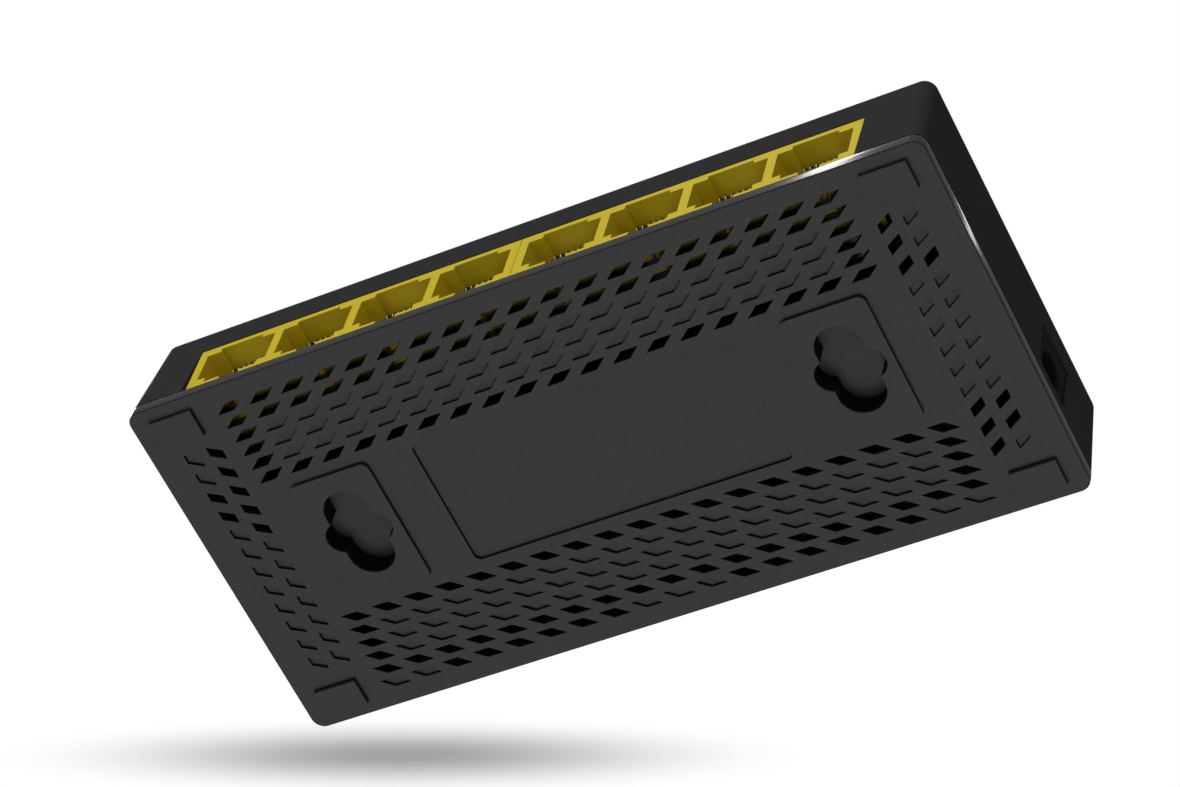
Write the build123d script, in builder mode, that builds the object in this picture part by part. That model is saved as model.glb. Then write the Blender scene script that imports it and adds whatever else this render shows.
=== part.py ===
from build123d import *
import os

os.makedirs("parts", exist_ok=True)

# An eight port desktop ethernet switch in a screwless plastic case, standing on its moulded feet.
# X runs along the case towards the power socket, -Y faces the cables, +Z goes up to the cover.
# The origin is the middle of the case at the bottom of the feet. Sizes are in millimetres.

# Case
case_length = 135.5
case_depth = 63.8
foot_height = 1.0
tray_height = 2.1
cover_height = 19.1
corner_radius = 2.1
tray_edge_radius = 0.75
seam_step = 0.2
cover_edge_radius = 0.8
end_draft = 0.8
port_side_draft = 0.9
front_draft = 0.25
plate_thickness = 1.8
wall_thickness = 1.6
roof_thickness = 1.8

# Lap joint and snap beads between the tray and the cover
tongue_thickness = 1.0
tongue_height = 1.8
tongue_gap = 0.2
bead_length = 8.0
bead_height = 0.6
bead_reach = 0.6
bead_rise = 0.7
bead_gap = 0.12
front_bead_places = (-45.0, 0.0, 45.0)
end_bead_place = 4.0

# Vents in the tray: slanted slits in two long bands and two short end bands
vent_columns = 19
vent_rows = 6
vent_row_pitch = 2.695
vent_end_room = 16.9
vent_edge_room = 4.205
vent_width = 2.95
vent_height = 1.65
vent_slant = 2.1
blind_vent_depth = 0.55
end_vent_rows = 12
end_vent_socket_room = 11.05
end_vent_front_room = 11.72
end_vent_inner_inset = 10.63
end_vent_outer_inset = 6.55
end_vent_width = 2.42
end_vent_height = 1.7
end_vent_slant = 1.4

# Underside: label field, keyhole pads with their blind wells, and feet
label_length = 55.1
field_gap = 1.995
label_recess = 0.6
label_corner = 1.2
pad_length = 14.05
pad_height = 0.8
pad_corner = 1.3
keyhole_spacing = 84.6
keyhole_offset = -0.3
keyhole_head_width = 7.7
keyhole_head_length = 15.66
keyhole_slot_width = 5.54
keyhole_slot_length = 11.56
keyhole_well_depth = 4.3
well_wall = 1.2
well_floor = 1.0
foot_length = 7.6
foot_depth = 4.8
foot_inset_x = 7.1
foot_inset_y = 4.7

# Circuit board
board_thickness = 1.6
board_gap = 0.2
board_margin = 0.5
board_notch_gap = 0.3
screw_inset_x = 6.55
screw_inset_y = 5.4
screw_boss_radius = 2.6
screw_shank_radius = 1.1
screw_head_radius = 2.3
screw_head_height = 1.5
screw_length = 4.0
screw_gap = 0.05
screw_tip_gap = 0.3
board_hole_radius = 1.35

# Socket blocks: two yellow mouldings of four network sockets each, sunk through the board's edge.
# They fill the case between its end rooms, and their sockets come out at the usual pitch of 13.97.
sockets_per_block = 4
block_end_room = 10.39
socket_web = 1.57
socket_height = 9.2
socket_depth = 11.0
jamb_width = 1.5
lip_height = 2.0
block_roof = 1.0
block_gap = 0.1
block_joint_place = -0.59
block_setback = 0.7
block_floor_gap = 0.5
sunk_depth = 12.2
block_depth = 15.2
keyway_width = 3.5
keyway_depth = 7.0
foot_step_width = 1.5
foot_step_height = 1.2
contact_side_gap = 0.1
top_step_height = 0.9
cover_opening_gap = 0.15
hold_down_gap = 0.2
hold_down_thickness = 1.2
hold_down_depth = 9.0

# Spring contacts and the carriers that hold them
contacts_per_socket = 8
contact_pitch = 1.0
contact_thickness = 0.4
contact_reach = 6.4
contact_drop = 2.6
contact_bend = 0.6
contact_roof_gap = 0.1
contact_front_gap = 1.6
carrier_gap = 0.1

# Power socket
jack_length = 14.5
jack_width = 9.5
jack_height = 11.0
jack_inset = 16.3
jack_setback = 0.85
jack_side_gap = 0.3
jack_bottom_gap = 0.3
jack_bore_radius = 3.25
jack_bore_depth = 10.0
jack_bore_rise = 4.75
jack_pin_radius = 1.0
jack_pin_length = 9.0
jack_pin_bevel = 0.4
jack_spring_width = 2.2
jack_spring_thickness = 0.3
jack_slot_depth = 0.8
jack_wing_width = 1.6
jack_wing_thickness = 1.0
jack_wing_length = 8.0
jack_bevel = 0.5

# Parts soldered to the board
lead_thickness = 0.25
package_bevel = 0.2
transformer_length = 17.0
transformer_depth = 9.0
transformer_height = 5.6
transformer_gap = 2.5
transformer_leads = 6
transformer_lead_pitch = 2.6
transformer_lead_width = 0.6
transformer_lead_reach = 1.0
standoff = 0.2
chip_side = 14.0
chip_height = 1.4
chip_leads = 8
chip_lead_pitch = 1.5
chip_lead_width = 0.4
chip_lead_reach = 1.0
chip_place_x = -8.0
thermal_pad_side = 12.0
thermal_pad_thickness = 0.5
sink_side = 18.0
sink_base = 1.6
sink_height = 7.5
sink_fins = 7
sink_fin_thickness = 1.0
sink_gap = 3.5
crystal_length = 11.0
crystal_width = 4.6
crystal_height = 3.6
crystal_bevel = 0.3
crystal_place_x = 10.0
crystal_offset = -4.0
memory_length = 5.0
memory_width = 4.0
memory_height = 1.6
memory_place_x = 10.0
memory_offset = 5.0
regulator_length = 5.0
regulator_width = 4.0
regulator_height = 1.6
regulator_gap_x = 19.4
regulator_gap_y = 18.7
inductor_side = 7.0
inductor_height = 4.2
inductor_gap_x = 10.4
inductor_gap_y = 12.7
capacitor_radius = 3.15
capacitor_height = 7.7
capacitor_base = 0.8
capacitor_gaps = ((28.4, 9.7), (18.4, 7.7))
fuse_length = 4.6
fuse_width = 3.2
fuse_height = 1.2
fuse_gap_x = 7.4
fuse_gap_y = 24.7
diode_length = 5.2
diode_width = 2.7
diode_height = 2.1
diode_gap_x = -0.6
diode_gap_y = 24.7
chip_capacitor_length = 1.6
chip_capacitor_width = 0.8
chip_capacitor_height = 0.8
chip_capacitor_ring = 11.5

# Lamps and the light guide behind the front wall
lamp_count = 9
lamp_pitch = 7.0
lamp_length = 2.0
lamp_depth = 1.25
lamp_height = 0.7
lamp_wall_gap = 2.6
window_width = 2.2
window_height = 1.4
window_rise = 4.4
window_gap = 0.08
guide_thickness = 1.0
guide_lamp_gap = 0.3
guide_peg_side = 1.6

# Heights and edges that follow from the sizes above
half_length = case_length / 2
half_depth = case_depth / 2
plate_z = foot_height
floor_z = plate_z + plate_thickness
seam_z = plate_z + tray_height
top_z = seam_z + cover_height
rim_inset = wall_thickness + tongue_gap + tongue_thickness
inner_corner = corner_radius - wall_thickness
well_floor_z = plate_z - pad_height + keyhole_well_depth
board_z = well_floor_z + well_floor + board_gap
board_top = board_z + board_thickness
block_face = -half_depth + block_setback
blocks_span = case_length - 2 * block_end_room
block_width = (blocks_span - block_gap) / 2
webs = sockets_per_block - 1
socket_width = (block_width - webs * socket_web - 2 * jamb_width) / sockets_per_block
socket_pitch = socket_width + socket_web
contact_span = (contacts_per_socket - 1) * contact_pitch + contact_thickness
top_step_width = (socket_width - contact_span) / 2 - contact_side_gap
block_z = floor_z + block_floor_gap
lip_z = block_z + lip_height
socket_top = lip_z + socket_height
block_top = socket_top + block_roof
sunk_back = block_face + sunk_depth
block_back = block_face + block_depth
socket_back = block_face + socket_depth
block_centres = [block_joint_place + side * (block_width + block_gap) / 2 for side in (-1, 1)]
socket_places = [
    centre + (n - webs / 2) * socket_pitch
    for centre in block_centres
    for n in range(sockets_per_block)
]
jack_z = seam_z + tongue_height + jack_bottom_gap
jack_face = half_length - jack_setback
jack_back = jack_face - jack_length
jack_place = half_depth - jack_inset
keyhole_places = [(side * keyhole_spacing / 2, keyhole_offset) for side in (-1, 1)]
screw_x = half_length - screw_inset_x
screw_y = half_depth - screw_inset_y
screw_places = [(sx * screw_x, sy * screw_y) for sx in (-1, 1) for sy in (-1, 1)]
vent_column_pitch = (case_length - 2 * vent_end_room) / (vent_columns - 1)
vent_first_row = half_depth - vent_edge_room - (vent_rows - 1) * vent_row_pitch
end_vent_first_row = end_vent_socket_room - half_depth
end_vent_row_pitch = (case_depth - end_vent_socket_room - end_vent_front_room) / (end_vent_rows - 1)
end_vent_inner_column = half_length - end_vent_inner_inset
end_vent_outer_column = half_length - end_vent_outer_inset
field_depth = 2 * (vent_first_row - vent_height / 2 - field_gap)


def slanted_slit(width, height, slant):
    """Corners of a slit whose two long edges lie along X, the lower one moved on by the slant."""
    return (
        (-width / 2 + slant / 2, -height / 2),
        (width / 2 + slant / 2, -height / 2),
        (width / 2 - slant / 2, height / 2),
        (-width / 2 - slant / 2, height / 2),
    )


def leaning_slit(width, height, slant):
    """Corners of a slit whose two sides lie along Y, the one at the right moved on by the slant."""
    return (
        (-width / 2, -height / 2 - slant / 2),
        (width / 2, -height / 2 + slant / 2),
        (width / 2, height / 2 + slant / 2),
        (-width / 2, height / 2 - slant / 2),
    )


def vent_column_place(column):
    """X of a vent column, counted from the left."""
    return (column - (vent_columns - 1) / 2) * vent_column_pitch


def vent_row_place(row):
    """Distance of a vent row from the middle of the case, counted outwards."""
    return vent_first_row + row * vent_row_pitch


def end_vent_place(row):
    """Y of a row of end vents, counted from the socket side."""
    return end_vent_first_row + row * end_vent_row_pitch


# Which slits go right through. The others are blind, and keep the pattern whole over the board.
grid = [(column, row) for column in range(vent_columns) for row in range(vent_rows)]
edge_columns = (0, vent_columns - 1)
port_open = [(c, r) for c, r in grid if r in (0, 4, 5) or c in edge_columns]
front_open = [
    (c, r)
    for c, r in grid
    if r in (0, 4) or (r < 4 and c in edge_columns) or (r == 5 and 2 <= min(c, vent_columns - 1 - c) <= 7)
]
end_grid = [(outer, row) for outer in (False, True) for row in range(end_vent_rows)]
left_open = [(outer, r) for outer, r in end_grid if r in ((2, 3) if outer else (0, 1, 2, 3, 4))]
right_open = [(outer, r) for outer, r in end_grid if r in ((2, 9, 10) if outer else (0, 1, 2, 9, 10, 11))]


def band_spots(side, cells):
    """Centres of the named cells of a long band, on the socket side (-1) or the front (1)."""
    return [(vent_column_place(c), side * vent_row_place(r)) for c, r in cells]


def end_spots(side, cells):
    """Centres of the named cells of an end band, at the left (-1) or the right (1)."""
    columns = {False: end_vent_inner_column, True: end_vent_outer_column}
    return [(side * columns[outer], end_vent_place(r)) for outer, r in cells]


def slits(depth, port_cells, front_cells, left_cells, right_cells):
    """Cuts one set of vents into the tray from its underside, to one depth."""
    with BuildSketch(Plane.XY.offset(plate_z)) as openings:
        with Locations(*band_spots(-1, port_cells)):
            Polygon(*slanted_slit(vent_width, vent_height, vent_slant), align=None)
        with Locations(*band_spots(1, front_cells)):
            Polygon(*slanted_slit(vent_width, vent_height, -vent_slant), align=None)
        with Locations(*end_spots(-1, left_cells)):
            Polygon(*leaning_slit(end_vent_width, end_vent_height, end_vent_slant), align=None)
        with Locations(*end_spots(1, right_cells)):
            Polygon(*leaning_slit(end_vent_width, end_vent_height, -end_vent_slant), align=None)
    extrude(openings.sketch, amount=depth, mode=Mode.SUBTRACT)


def rest_of(cells, chosen):
    """The cells that aren't chosen."""
    return [cell for cell in cells if cell not in chosen]


def save(builder, label):
    """Labels a finished piece and writes it under its own name."""
    builder.part.label = label
    export_step(builder.part, f"parts/{label}.step")


# Keyhole outline: a long head opening crossed by the slot for the screw's neck.
with BuildSketch() as keyhole:
    SlotOverall(keyhole_head_length, keyhole_head_width, rotation=90)
    SlotOverall(keyhole_slot_length, keyhole_slot_width)

# Snap beads stand on the tongue, level with pockets in the cover's wall.
bead_z = seam_z + bead_rise
tongue_front = half_depth - wall_thickness - tongue_gap
tongue_end = half_length - wall_thickness - tongue_gap
front_beads = [(x, tongue_front) for x in front_bead_places]
end_beads = [(side * tongue_end, end_bead_place) for side in (-1, 1)]


def beads(gap, mode):
    """Adds the snap beads, or cuts their pockets with some room around them."""
    with BuildSketch(Plane.XY.offset(bead_z - gap)) as outlines:
        with Locations(*front_beads):
            Rectangle(bead_length + 2 * gap, 2 * (bead_reach + gap))
        with Locations(*end_beads):
            Rectangle(2 * (bead_reach + gap), bead_length + 2 * gap)
    extrude(outlines.sketch, amount=bead_height + 2 * gap, mode=mode)


# Bottom cover: a shallow moulded tray with vents, keyhole wells, board bosses and a lap tongue.
with BuildPart() as bottom_cover:
    with BuildSketch(Plane.XY.offset(plate_z)):
        RectangleRounded(case_length, case_depth, corner_radius)
    extrude(amount=tray_height)
    fillet(bottom_cover.edges().group_by(Axis.Z)[0], tray_edge_radius)
    with BuildSketch(Plane.XY.offset(seam_z)):
        RectangleRounded(2 * tongue_end, 2 * tongue_front, inner_corner)
    extrude(amount=tongue_height)
    beads(0, Mode.ADD)
    with BuildSketch(Plane.XY.offset(floor_z)):
        Rectangle(case_length - 2 * rim_inset, case_depth - 2 * rim_inset)
    extrude(amount=top_z - floor_z, mode=Mode.SUBTRACT)
    # The tongue stops where the socket blocks pass over the rim.
    with BuildSketch(Plane.XY.offset(seam_z)):
        with Locations((block_joint_place, -half_depth)):
            Rectangle(blocks_span + 2 * board_notch_gap, 2 * (rim_inset + board_notch_gap))
    extrude(amount=tongue_height, mode=Mode.SUBTRACT)
    # Keyhole pads below the plate and their closed wells above it
    with BuildSketch(Plane.XY.offset(plate_z)):
        with Locations(*[(x, 0) for x, y in keyhole_places]):
            RectangleRounded(pad_length, field_depth, pad_corner)
    extrude(amount=-pad_height)
    with BuildSketch(Plane.XY.offset(floor_z)):
        with Locations(*keyhole_places):
            add(offset(keyhole.sketch, well_wall, mode=Mode.PRIVATE))
    extrude(amount=well_floor_z + well_floor - floor_z)
    with BuildSketch(Plane.XY.offset(plate_z - pad_height)):
        with Locations(*keyhole_places):
            add(keyhole.sketch)
    extrude(amount=keyhole_well_depth, mode=Mode.SUBTRACT)
    # Field for the label
    with BuildSketch(Plane.XY.offset(plate_z)):
        RectangleRounded(label_length, field_depth, label_corner)
    extrude(amount=label_recess, mode=Mode.SUBTRACT)
    # Moulded feet under the board bosses
    with BuildSketch(Plane.XY):
        with GridLocations(case_length - 2 * foot_inset_x, case_depth - 2 * foot_inset_y, 2, 2):
            Rectangle(foot_length, foot_depth)
    extrude(amount=foot_height)
    with BuildSketch(Plane.XY.offset(floor_z)):
        with Locations(*screw_places):
            Circle(screw_boss_radius)
    extrude(amount=board_z - floor_z)
    with BuildSketch(Plane.XY.offset(board_z)):
        with Locations(*screw_places):
            Circle(screw_shank_radius + screw_gap)
    extrude(amount=-(screw_length - board_thickness + screw_tip_gap), mode=Mode.SUBTRACT)
    slits(plate_thickness, port_open, front_open, left_open, right_open)
    slits(
        blind_vent_depth,
        rest_of(grid, port_open),
        rest_of(grid, front_open),
        rest_of(end_grid, left_open),
        rest_of(end_grid, right_open),
    )

# Top cover: a deep drafted shell, open below and along the sockets.
draft_shift = (port_side_draft - front_draft) / 2
top_length = case_length - 2 * end_draft
top_depth = case_depth - port_side_draft - front_draft
roof_z = top_z - roof_thickness
lamp_y = half_depth - wall_thickness - lamp_wall_gap
window_z = board_top + window_rise
lamp_places = [((n - (lamp_count - 1) / 2) * lamp_pitch, lamp_y) for n in range(lamp_count)]

with BuildPart() as top_cover:
    # The foot of the cover is stepped back, which leaves a thin shadow line above the tray.
    with BuildSketch(Plane.XY.offset(seam_z)):
        RectangleRounded(case_length - 2 * seam_step, case_depth - 2 * seam_step, corner_radius - seam_step)
    extrude(amount=seam_step)
    with BuildSketch(Plane.XY.offset(seam_z + seam_step)):
        RectangleRounded(case_length, case_depth, corner_radius)
    with BuildSketch(Plane.XY.offset(top_z)):
        with Locations((0, draft_shift)):
            RectangleRounded(top_length, top_depth, corner_radius)
    loft()
    fillet(top_cover.edges().group_by(Axis.Z)[-1], cover_edge_radius)
    with BuildSketch(Plane.XY.offset(seam_z)):
        RectangleRounded(case_length - 2 * wall_thickness, case_depth - 2 * wall_thickness, inner_corner)
    with BuildSketch(Plane.XY.offset(roof_z)):
        with Locations((0, draft_shift)):
            RectangleRounded(top_length - 2 * wall_thickness, top_depth - 2 * wall_thickness, inner_corner)
    loft(mode=Mode.SUBTRACT)
    beads(bead_gap, Mode.SUBTRACT)
    # Long opening for the two socket blocks
    with BuildSketch(Plane.XZ.offset(half_depth)):
        with Locations((block_joint_place, seam_z)):
            Rectangle(
                blocks_span + 2 * cover_opening_gap,
                block_top + block_gap - seam_z,
                align=(Align.CENTER, Align.MIN),
            )
    extrude(amount=-(wall_thickness + port_side_draft), mode=Mode.SUBTRACT)
    # Opening for the power socket
    with BuildSketch(Plane.YZ.offset(half_length)):
        with Locations((jack_place, jack_z)):
            Rectangle(
                jack_width + 2 * jack_side_gap,
                jack_height + jack_side_gap,
                align=(Align.CENTER, Align.MIN),
            )
    extrude(amount=-(wall_thickness + end_draft), mode=Mode.SUBTRACT)
    # Lamp windows
    with BuildSketch(Plane.XZ.offset(-half_depth)):
        with Locations(*[(x, window_z) for x, y in lamp_places]):
            Rectangle(window_width, window_height)
    extrude(amount=wall_thickness + front_draft, mode=Mode.SUBTRACT)
    # Ribs that keep the socket blocks down on the board
    rib_places = [
        centre + side * socket_pitch for centre in block_centres for side in (-1, 1)
    ]
    with BuildSketch(Plane.XY.offset(block_top + hold_down_gap)):
        with Locations(*[(x, block_back) for x in rib_places]):
            Rectangle(hold_down_thickness, hold_down_depth, align=(Align.CENTER, Align.MAX))
    extrude(amount=roof_z - block_top - hold_down_gap)

# Circuit board: notched for the socket blocks and for the power socket.
board_half_length = tongue_end - tongue_thickness - board_margin
board_half_depth = tongue_front - tongue_thickness - board_margin
with BuildPart() as circuit_board:
    with BuildSketch(Plane.XY.offset(board_z)):
        Rectangle(2 * board_half_length, 2 * board_half_depth)
        with Locations((block_joint_place, sunk_back + board_notch_gap)):
            Rectangle(
                blocks_span + 2 * board_notch_gap,
                case_depth,
                align=(Align.CENTER, Align.MAX),
                mode=Mode.SUBTRACT,
            )
        with Locations((jack_back - board_notch_gap, jack_place)):
            Rectangle(
                case_length,
                jack_width + 2 * board_notch_gap,
                align=(Align.MIN, Align.CENTER),
                mode=Mode.SUBTRACT,
            )
        with Locations(*screw_places):
            Circle(board_hole_radius, mode=Mode.SUBTRACT)
    extrude(amount=board_thickness)

# Board screws: pan heads on the board, shanks in the tray's bosses.
with BuildPart() as board_screws:
    with BuildSketch(Plane.XY.offset(board_top)):
        with Locations(*screw_places):
            Circle(screw_head_radius)
    extrude(amount=screw_head_height)
    with BuildSketch(Plane.XY.offset(board_top)):
        with Locations(*screw_places):
            Circle(screw_shank_radius)
    extrude(amount=-screw_length)

save(bottom_cover, "bottom_cover")
save(top_cover, "top_cover")
save(circuit_board, "circuit_board")
save(board_screws, "board_screws")

# Socket blocks: each socket is stepped at all four corners, with the latch keyway below.
for side, centre in zip(("left", "right"), block_centres):
    places = [centre + (n - webs / 2) * socket_pitch for n in range(sockets_per_block)]
    with BuildPart() as port_block:
        with BuildSketch(Plane.YZ.offset(centre - block_width / 2)):
            with BuildLine():
                Polyline(
                    (block_face, block_z),
                    (sunk_back, block_z),
                    (sunk_back, board_top),
                    (block_back, board_top),
                    (block_back, block_top),
                    (block_face, block_top),
                    close=True,
                )
            make_face()
        extrude(amount=block_width)
        with BuildSketch(Plane.XZ.offset(-block_face)):
            with Locations(*[(x, lip_z) for x in places]):
                Rectangle(
                    socket_width - 2 * foot_step_width,
                    socket_height,
                    align=(Align.CENTER, Align.MIN),
                )
            with Locations(*[(x, lip_z + foot_step_height) for x in places]):
                Rectangle(
                    socket_width,
                    socket_height - foot_step_height - top_step_height,
                    align=(Align.CENTER, Align.MIN),
                )
            with Locations(*[(x + s * socket_width / 2, socket_top) for x in places for s in (-1, 1)]):
                Rectangle(
                    2 * top_step_width,
                    2 * top_step_height,
                    mode=Mode.SUBTRACT,
                )
        extrude(amount=-socket_depth, mode=Mode.SUBTRACT)
        with BuildSketch(Plane.XY.offset(block_z)):
            with Locations(*[(x, block_face) for x in places]):
                Rectangle(keyway_width, keyway_depth, align=(Align.CENTER, Align.MIN))
        extrude(amount=lip_height, mode=Mode.SUBTRACT)
        # Room at the back for the contact carriers
        with BuildSketch(Plane.XZ.offset(-socket_back)):
            with Locations(*[(x, board_top) for x in places]):
                Rectangle(socket_width, socket_top - board_top, align=(Align.CENTER, Align.MIN))
        extrude(amount=-(block_back - socket_back), mode=Mode.SUBTRACT)
    save(port_block, f"port_block_{side}")

# One spring contact: a tail on the board, a run through the carrier's groove and a hairpin tip.
contact_z = socket_top - contact_roof_gap - contact_thickness / 2
tail_y = block_back + contact_thickness / 2
bend_y = socket_back - contact_reach
with BuildPart() as contact:
    with BuildLine(Plane.YZ) as contact_path:
        Polyline(
            (tail_y, board_top),
            (tail_y, contact_z),
            (bend_y, contact_z),
            (bend_y - contact_bend, contact_z - contact_bend),
            (socket_back - contact_front_gap, contact_z - contact_drop),
        )
    with BuildSketch(Plane.XY.offset(board_top)):
        with Locations((0, tail_y)):
            Rectangle(contact_thickness, contact_thickness)
    sweep(path=contact_path.wires()[0], transition=Transition.RIGHT)

# Each socket has a carrier, seated in the block's back, and eight contacts lying in its grooves.
contact_offsets = [
    (n - (contacts_per_socket - 1) / 2) * contact_pitch for n in range(contacts_per_socket)
]
for number, place in enumerate(socket_places, start=1):
    with BuildPart() as contact_carrier:
        with BuildSketch(Plane.XY.offset(board_top)):
            with Locations((place, block_back)):
                Rectangle(
                    socket_width - 2 * carrier_gap,
                    block_back - socket_back,
                    align=(Align.CENTER, Align.MAX),
                )
        extrude(amount=socket_top - contact_roof_gap - board_top)
        with BuildSketch(Plane.XZ.offset(-block_back)):
            with Locations(*[(place + x, socket_top - contact_roof_gap) for x in contact_offsets]):
                Rectangle(contact_thickness, contact_thickness, align=(Align.CENTER, Align.MAX))
        extrude(amount=block_back - socket_back, mode=Mode.SUBTRACT)
    with BuildPart() as contact_wires:
        with Locations(*[(place + x, 0, 0) for x in contact_offsets]):
            add(contact.part)
    save(contact_carrier, f"contact_carrier_{number}")
    save(contact_wires, f"contact_wires_{number}")

# Power socket: a moulded body let into the board's edge, its pin and its side spring.
bore_z = jack_z + jack_bore_rise
bore_back = jack_face - jack_bore_depth
slot_z = bore_z - jack_bore_radius - jack_slot_depth
with BuildPart() as dc_jack_body:
    with BuildSketch(Plane.YZ.offset(jack_back)):
        with Locations((jack_place, jack_z)):
            Rectangle(jack_width, jack_height, align=(Align.CENTER, Align.MIN))
    extrude(amount=jack_length)
    chamfer(dc_jack_body.edges().filter_by(Axis.X).group_by(Axis.Z)[-1], jack_bevel)
    with BuildSketch(Plane.XY.offset(board_top)):
        with Locations((jack_back, jack_place)):
            Rectangle(
                jack_wing_length,
                jack_width + 2 * jack_wing_width,
                align=(Align.MIN, Align.CENTER),
            )
    extrude(amount=jack_wing_thickness)
    with BuildSketch(Plane.YZ.offset(jack_face)):
        with Locations((jack_place, bore_z)):
            Circle(jack_bore_radius)
        with Locations((jack_place, slot_z)):
            Rectangle(jack_spring_width, bore_z - slot_z, align=(Align.CENTER, Align.MIN))
    extrude(amount=-jack_bore_depth, mode=Mode.SUBTRACT)

with BuildPart() as dc_jack_pin:
    with BuildSketch(Plane.YZ.offset(bore_back)):
        with Locations((jack_place, bore_z)):
            Circle(jack_pin_radius)
    extrude(amount=jack_pin_length)
    chamfer(dc_jack_pin.edges().group_by(Axis.X)[-1], jack_pin_bevel)

with BuildPart() as dc_jack_spring:
    with BuildSketch(Plane.XY.offset(slot_z)):
        with Locations((bore_back, jack_place)):
            Rectangle(jack_pin_length, jack_spring_width, align=(Align.MIN, Align.CENTER))
    extrude(amount=jack_spring_thickness)

save(dc_jack_body, "dc_jack_body")
save(dc_jack_pin, "dc_jack_pin")
save(dc_jack_spring, "dc_jack_spring")


def solder_leads(places, length, width):
    """Adds flat leads that stand on the board and reach out from under a chip's edges."""
    with BuildSketch(Plane.XY.offset(board_top)) as leads:
        with Locations(*places):
            Rectangle(length, width)
    extrude(leads.sketch, amount=standoff + lead_thickness)


# Port transformers: four modules, each serving two sockets, with a row of leads on either side.
transformer_place = block_back + transformer_gap + transformer_depth / 2
transformer_lead_offsets = [
    (n - (transformer_leads - 1) / 2) * transformer_lead_pitch for n in range(transformer_leads)
]
for number in range(1, len(socket_places) // 2 + 1):
    pair = socket_places[2 * number - 2 : 2 * number]
    place = sum(pair) / 2
    with BuildPart() as transformer:
        with BuildSketch(Plane.XY.offset(board_top + standoff)):
            with Locations((place, transformer_place)):
                Rectangle(transformer_length, transformer_depth)
        extrude(amount=transformer_height)
        solder_leads(
            [(place + x, transformer_place) for x in transformer_lead_offsets],
            transformer_lead_width,
            transformer_depth + 2 * transformer_lead_reach,
        )
    save(transformer, f"transformer_{number}")

# Switch chip with its thermal pad and finned heat sink
chip_lead_offsets = [(n - (chip_leads - 1) / 2) * chip_lead_pitch for n in range(chip_leads)]
chip_top = board_top + standoff + chip_height
chip_place_y = transformer_place + transformer_depth / 2 + sink_gap + sink_side / 2
with BuildPart() as switch_chip:
    with BuildSketch(Plane.XY.offset(board_top + standoff)):
        with Locations((chip_place_x, chip_place_y)):
            Rectangle(chip_side, chip_side)
    extrude(amount=chip_height)
    lead_rows = [side * chip_side / 2 for side in (-1, 1)]
    solder_leads(
        [(chip_place_x + x, chip_place_y + y) for x in chip_lead_offsets for y in lead_rows],
        chip_lead_width,
        2 * chip_lead_reach,
    )
    solder_leads(
        [(chip_place_x + x, chip_place_y + y) for x in lead_rows for y in chip_lead_offsets],
        2 * chip_lead_reach,
        chip_lead_width,
    )

with BuildPart() as thermal_pad:
    with BuildSketch(Plane.XY.offset(chip_top)):
        with Locations((chip_place_x, chip_place_y)):
            Rectangle(thermal_pad_side, thermal_pad_side)
    extrude(amount=thermal_pad_thickness)

sink_z = chip_top + thermal_pad_thickness
fin_pitch = (sink_side - sink_fin_thickness) / (sink_fins - 1)
with BuildPart() as heat_sink:
    with BuildSketch(Plane.XY.offset(sink_z)):
        with Locations((chip_place_x, chip_place_y)):
            Rectangle(sink_side, sink_side)
    extrude(amount=sink_base)
    with BuildSketch(Plane.XY.offset(sink_z + sink_base)):
        with Locations((chip_place_x, chip_place_y)):
            with GridLocations(fin_pitch, 0, sink_fins, 1):
                Rectangle(sink_fin_thickness, sink_side)
    extrude(amount=sink_height - sink_base)

save(switch_chip, "switch_chip")
save(thermal_pad, "thermal_pad")
save(heat_sink, "heat_sink")

# Crystal in its drawn metal can
with BuildPart() as crystal:
    with BuildSketch(Plane.XY.offset(board_top)):
        with Locations((crystal_place_x, chip_place_y + crystal_offset)):
            SlotOverall(crystal_length, crystal_width)
    extrude(amount=crystal_height)
    chamfer(crystal.edges().group_by(Axis.Z)[-1], crystal_bevel)
save(crystal, "crystal")

# Small plain packages: settings memory, regulator, inductor, fuse and diode
# The power parts are placed from the back of the power socket and from the lamp row.
memory_place = (memory_place_x, chip_place_y + memory_offset)
regulator_place = (jack_back - regulator_gap_x, lamp_y - regulator_gap_y)
inductor_place = (jack_back - inductor_gap_x, lamp_y - inductor_gap_y)
fuse_place = (jack_back - fuse_gap_x, lamp_y - fuse_gap_y)
diode_place = (jack_back - diode_gap_x, lamp_y - diode_gap_y)
packages = {
    "config_memory": (memory_place, memory_length, memory_width, memory_height),
    "regulator_chip": (regulator_place, regulator_length, regulator_width, regulator_height),
    "inductor": (inductor_place, inductor_side, inductor_side, inductor_height),
    "fuse": (fuse_place, fuse_length, fuse_width, fuse_height),
    "diode": (diode_place, diode_length, diode_width, diode_height),
}
for label, (place, length, width, height) in packages.items():
    with BuildPart() as package:
        with BuildSketch(Plane.XY.offset(board_top)):
            with Locations(place):
                Rectangle(length, width)
        extrude(amount=height)
        chamfer(package.edges().group_by(Axis.Z)[-1], package_bevel)
    save(package, label)

# Electrolytic capacitors: a can on a square base
capacitor_places = [(jack_back - x, lamp_y - y) for x, y in capacitor_gaps]
for number, place in enumerate(capacitor_places, start=1):
    with BuildPart() as capacitor:
        with BuildSketch(Plane.XY.offset(board_top)):
            with Locations(place):
                Rectangle(2 * capacitor_radius, 2 * capacitor_radius)
        extrude(amount=capacitor_base)
        with BuildSketch(Plane.XY.offset(board_top + capacitor_base)):
            with Locations(place):
                Circle(capacitor_radius)
        extrude(amount=capacitor_height - capacitor_base)
    save(capacitor, f"capacitor_{number}")

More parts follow.
